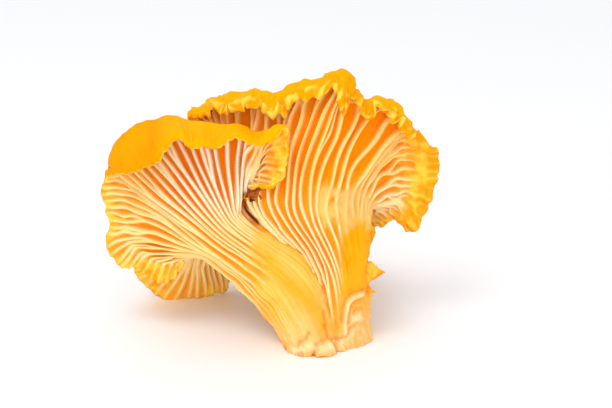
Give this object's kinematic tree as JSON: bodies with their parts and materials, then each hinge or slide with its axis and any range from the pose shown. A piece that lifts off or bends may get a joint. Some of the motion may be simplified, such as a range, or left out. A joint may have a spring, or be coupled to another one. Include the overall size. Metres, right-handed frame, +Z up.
{
  "type": "chanterelle mushroom",
  "caption": "Picked chanterelle lying on its stem's cut: fused funnel caps with rolled, ruffled margins and forked gills running down a short thick stem.",
  "frame": {"origin": "centre of the bounding box's bottom face, on the surface that the mushroom rests on", "axes": "+X along the width of the caps, to the right as seen from the gill side; the gills face -Y; +Z up from the stem's cut"},
  "size_m": [0.0657, 0.0442, 0.0531],
  "materials": {
    "chanterelle": "satin, slightly moist"
  },
  "bodies": {
    "root": {"chanterelle": "chanterelle"}
  },
  "joints": []
}
